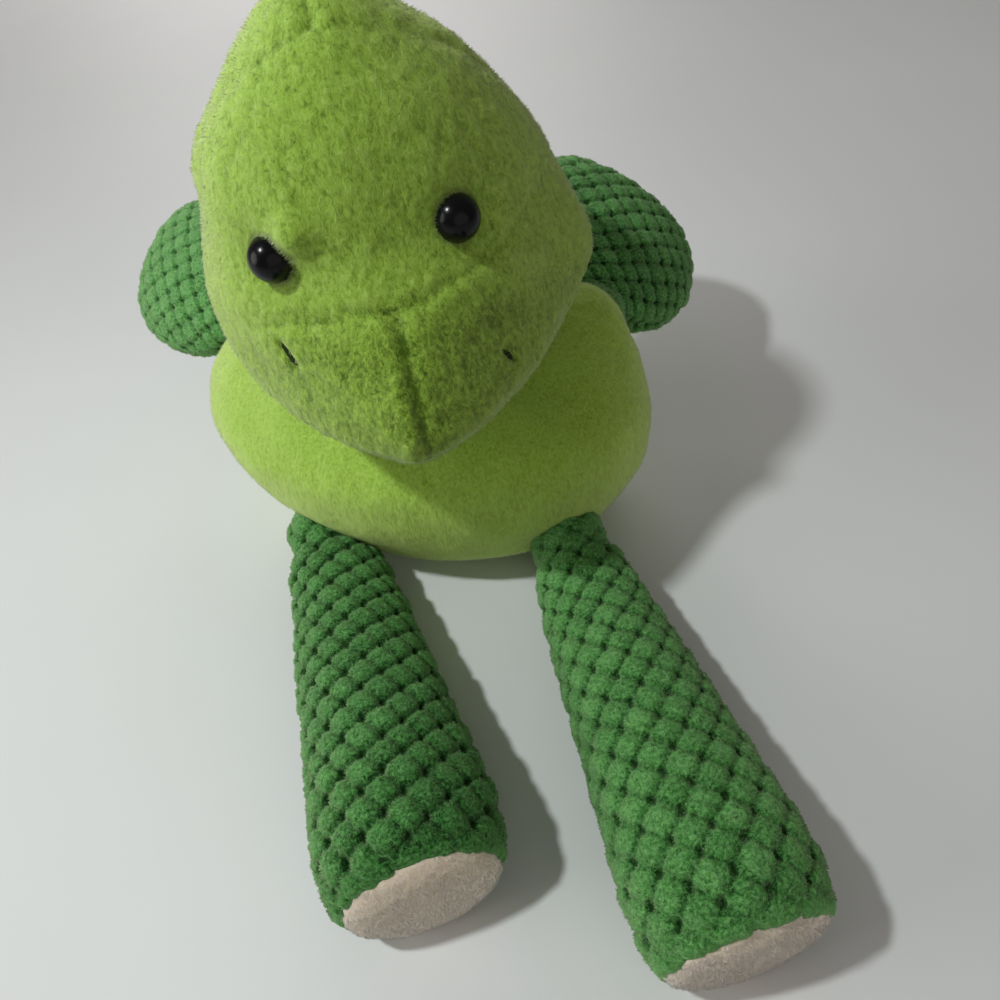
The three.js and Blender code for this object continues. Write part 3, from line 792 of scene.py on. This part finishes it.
def cloth_run(rows, half_width, length):
    """How far the cloth runs from the root to each share of a limb's length, as two lists."""
    steps = 120
    shares, runs = [0.0], [0.0]
    last = Vector((0, 0))
    for step in range(1, steps + 1):
        share, wide, _, _ = between_rows(rows, 1 - step / steps)
        now = Vector((share * length, wide * half_width))
        if share > shares[-1]:
            shares.append(share)
            runs.append(runs[-1] + (now - last).length)
        last = now
    return shares, runs


def nubbly_surface(limb, rows, half_width, half_depth, length, flat_to, size, askew, seed, painted_light_and_flattening, hem=None):
    """Nubs in rows that meet at the limb's two side seams, flattened where the root is gathered and towards
    a hem plane. Size is theirs against the full size, askew is how far rows and columns turn off the limb's
    line, and the flattening share lightens the pile as painted light and takes from its height."""
    home = limb.inverted()
    shares, runs = cloth_run(rows, half_width, length)
    row_turn, column_turn = askew

    def surface(place):
        spot = home @ place
        share = clamp(spot.z / length)
        upper = min(bisect.bisect_right(shares, share), len(shares) - 1)
        part = (share - shares[upper - 1]) / (shares[upper] - shares[upper - 1])
        along = runs[upper - 1] + (runs[upper] - runs[upper - 1]) * min(1, part)
        wide, deep = spot.x / half_width, spot.y / half_depth
        turn = math.atan2(wide, deep)
        if abs(turn) > math.pi / 2:
            turn = math.copysign(math.pi, turn) - turn
        around = math.hypot(wide, deep) * ((half_width + half_depth) / 2 * turn
                                           + (half_width - half_depth) / 4 * math.sin(2 * turn))
        nub = nub_at((along * math.cos(row_turn) - around * math.sin(row_turn)) / size,
                     (around * math.cos(column_turn) + along * math.sin(column_turn)) / size, seed)
        hemmed = clamp(((place - hem[0]).dot(hem[1]) + 0.0085) / 0.006) if hem else 0
        nub += (0.8 - nub) * hemmed
        stands = clamp(share / flat_to, 0.6, 1)
        height = nub_height * (1 - painted_light_and_flattening * (1 - hemmed)) * stands * nub
        curl = noise.noise(place * 900)
        lift = height + groove(spot.y, 0.0009, 0.0016) * (1 - hemmed) + 0.00025 * curl
        # The pile is painted darker down in the pits between the nubs, as painted shade, and lighter by the
        # flattening share, as painted light. The curl is random tone.
        return lift, middling_nap + 0.9 * painted_light_and_flattening - 0.7 * (1 - nub) * stands + 0.12 * curl

    return surface


def terry(place, up):
    """How the nubs' pile lies: curled every way."""
    return noise.noise_vector(place * 700) * 1.3


def press_back(piece, skin, spare, root, free):
    """Presses the cloth back where it would go into its neighbour, but for the root sewn to it."""
    for point in piece.data.vertices:
        if (point.co - root).length > free:
            spot, out, _, _ = skin.find_nearest(point.co)
            depth = (point.co - spot).dot(out)
            if depth < spare:
                point.co += out * (spare - depth)


def stuffed_limb(name, form, limb, root, joint):
    """The cloth of an arm or a leg: rounded over its root, blown out between its two side seams and
    pressed back where it meets the body."""
    home = limb.inverted()
    bmesh.ops.create_uvsphere(form, u_segments=24, v_segments=16, radius=root + root_cover)
    bmesh.ops.transform(form, matrix=limb, verts=form.verts)
    piece = new_piece(name, form)
    remesh(piece, 0.0034)
    fill_out(piece, lambda place: abs((home @ place).y) < seam_hold, most=0.002)
    press_back(piece, body_skin, nub_height, joint, sewn_reach)
    return piece


# The popcorn's deep colour shows mostly down in the pits between nubs, where it is painted shade.
popcorn_plush = cloth_material(
    "popcorn_plush", deep=(0.007, 0.038, 0.006, 1), middle=(0.075, 0.255, 0.06, 1),
    light=(0.2, 0.47, 0.15, 1), edge=(0.18, 0.4, 0.14, 1), grain_scale=900, drawn_out=1, contrast=1.6,
    relief=0.7)
# An arm's last value lightens its pile as painted light, more for the arm on the lamp's side, and takes that
# share from its nubs' height.
each_arm = {
    "right": {"way": -1, "back": 32, "half_width": 0.04, "lean": -0.002, "painted_light_and_flattening": 0.4},
    "left": {"way": 1, "back": 83, "half_width": 0.047, "lean": 0.006, "painted_light_and_flattening": 0.14},
}
for seed, (side, own) in enumerate(each_arm.items(), 3):
    shoulder = joint_places["shoulder_swing_" + side]
    outward = (Matrix.Translation(shoulder) @ body_turn
               @ Matrix.Rotation(own["way"] * math.radians(own["back"]), 4, "Z"))
    limb = (outward @ Matrix.Rotation(own["way"] * math.pi / 2, 4, "Y")
            @ Matrix.Rotation(own["way"] * mitt_turn, 4, "Z"))
    arm_form = stuffed_form(ARM_ROWS, own["half_width"] - nub_room, arm_half_thick - nub_room,
                            arm_length - nub_room, own["lean"])
    arm = stuffed_limb("arm_plush_" + side, arm_form, limb, arm_root, shoulder)
    refine(arm)
    raise_pile(arm, nubbly_surface(limb, ARM_ROWS, own["half_width"], arm_half_thick, arm_length,
                                   flat_to=0.15, size=0.9, askew=(0, 0), seed=seed, painted_light_and_flattening=own["painted_light_and_flattening"]))
    arm_pile = sow_pile("arm_pile_" + side, arm, per_square_mm=1, length=0.0008, width=0.0003, lie=terry,
                        uneven=0.65, seed=seed)
    for piece in (arm, arm_pile):
        piece.data.materials.append(popcorn_plush)
        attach(piece, "arm_" + side)
    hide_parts(f"arm_{side}_front_panel", f"arm_{side}_back_panel", f"arm_{side}_filling")
    sewn_on = gathered_cup("shoulder_cloth_" + side, shoulder, arm_root + gather_cover,
                           limb.to_3x3() @ Vector((0, 0, 1)), rim=-0.4, pleat=0.015)
    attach(sewn_on, "shoulder_" + side)
    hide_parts("shoulder_gather_" + side)


# Legs. Long tapering tubes of the same popcorn plush, a top and an under panel each, stuffed fullest at
# the foot, closed there by a pad of beige fleece and drawn thin where they are gathered onto the belly.
# They lie flat on the table.
LEG_ROWS = (
    (1, 0, 0, 1), (0.985, 0.72, 0.68, 1), (0.935, 0.95, 0.95, 1), (0.83, 1, 1, 1), (0.6, 0.89, 0.86, 1),
    (0.36, 0.78, 0.71, 1), (0.18, 0.67, 0.56, 0.5), (0.085, 0.57, 0.46, 0.1), (0, 0.3, 0.3, 0),
    (-0.03, 0, 0, 0),
)
leg_half_width, leg_half_height, leg_length, leg_root, leg_lies_at = 0.032, 0.028, 0.169, 0.013, 0.0225
pad_depth, pad_inset = 0.005, 0.0004
# A leg's last value lightens its pile as painted light, and takes that share from its nubs' height.
each_leg = {
    "right": {"splay": 7.6, "rows": 22, "columns": 11, "sole": 5, "painted_light_and_flattening": 0},
    "left": {"splay": 3.8, "rows": 0, "columns": 0, "sole": 1, "painted_light_and_flattening": 0.2},
}


def cut_across(piece, spot, normal):
    """Cuts off what lies beyond a plane and closes the cut."""
    form = bmesh.new()
    form.from_mesh(piece.data)
    bmesh.ops.bisect_plane(form, geom=form.verts[:] + form.edges[:] + form.faces[:],
                           plane_co=spot, plane_no=normal, clear_outer=True)
    bmesh.ops.holes_fill(form, edges=[edge for edge in form.edges if edge.is_boundary])
    bmesh.ops.recalc_face_normals(form, faces=form.faces[:])
    form.to_mesh(piece.data)
    form.free()


def fleece_surface(place):
    tangle = noise.noise(place * 420)
    soft = noise.noise(place * 90)
    return 0.00015 * tangle + 0.0002 * soft, 0.62 + 0.12 * tangle + 0.06 * soft


def brushed(place, up):
    """How the fleece's pile lies: brushed this way and that in patches."""
    return noise.noise_vector(place * 240) * 1.5


beige_fleece = cloth_material(
    "beige_fleece", deep=(0.62, 0.49, 0.35, 1), middle=(0.88, 0.73, 0.56, 1), light=(0.94, 0.83, 0.68, 1),
    edge=(0.92, 0.81, 0.67, 1), grain_scale=900, drawn_out=1, contrast=1.1, relief=0.6)
for number, (side, own) in enumerate(each_leg.items()):
    hip = joint_places["hip_splay_" + side]
    sole_tilt = math.radians(own["sole"])
    turned = Matrix.Translation(hip) @ Matrix.Rotation(math.radians(own["splay"]), 4, "Z")
    limb = turned @ Matrix.Rotation(math.pi / 2, 4, "X")
    sole = turned @ Vector((0, pad_depth - leg_length, 0))
    sole_way = turned.to_3x3() @ Vector((0, -math.cos(sole_tilt), math.sin(sole_tilt)))

    def past_sole(place):
        return (place - sole).dot(sole_way)

    leg_form = stuffed_form(LEG_ROWS, leg_half_width - nub_room, leg_half_height - nub_room, leg_length,
                            lies_at=leg_lies_at - nub_room)
    leg = stuffed_limb("leg_plush_" + side, leg_form, limb, leg_root, hip)
    cut_across(leg, sole - sole_way * 0.0025, sole_way)
    refine(leg)
    raise_pile(leg, nubbly_surface(limb, LEG_ROWS, leg_half_width, leg_half_height, leg_length,
                                   flat_to=0.08, size=1, seed=5 + number, painted_light_and_flattening=own["painted_light_and_flattening"],
                                   askew=(math.radians(own["rows"]), math.radians(own["columns"])),
                                   hem=(sole, sole_way)))
    leg_pile = sow_pile("leg_pile_" + side, leg, per_square_mm=1, length=0.0008, width=0.0003,
                        lie=lambda place, up: None if past_sole(place) > -0.003 else terry(place, up),
                        uneven=0.65, seed=5 + number)
    for piece in (leg, leg_pile):
        piece.data.materials.append(popcorn_plush)
        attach(piece, "leg_" + side)
    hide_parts(f"leg_{side}_top_panel", f"leg_{side}_under_panel", f"leg_{side}_filling")
    sewn_on = gathered_cup("hip_cloth_" + side, hip, leg_root + gather_cover,
                           limb.to_3x3() @ Vector((0, 0, 1)), rim=-0.4, pleat=0.015)
    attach(sewn_on, "hip_" + side)
    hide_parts("hip_gather_" + side)

    pad_form = stuffed_form(LEG_ROWS, leg_half_width - pad_inset, leg_half_height - pad_inset, leg_length,
                            lies_at=leg_lies_at - pad_inset)
    bmesh.ops.transform(pad_form, matrix=limb, verts=pad_form.verts)
    pad = new_piece("foot_pad_fleece_" + side, pad_form)
    cut_across(pad, sole - sole_way * 0.003, -sole_way)
    remesh(pad, 0.003)
    fill_out(pad, lambda place: past_sole(place) < 0, most=0.002)
    refine(pad)
    raise_pile(pad, fleece_surface)
    pad_pile = sow_pile("foot_pad_pile_" + side, pad, per_square_mm=2.5, length=0.0009, width=0.00013,
                        lie=brushed, uneven=0.2, seed=7 + number)
    for piece in (pad, pad_pile):
        piece.data.materials.append(beige_fleece)
        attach(piece, "leg_" + side)
    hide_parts("foot_pad_" + side)
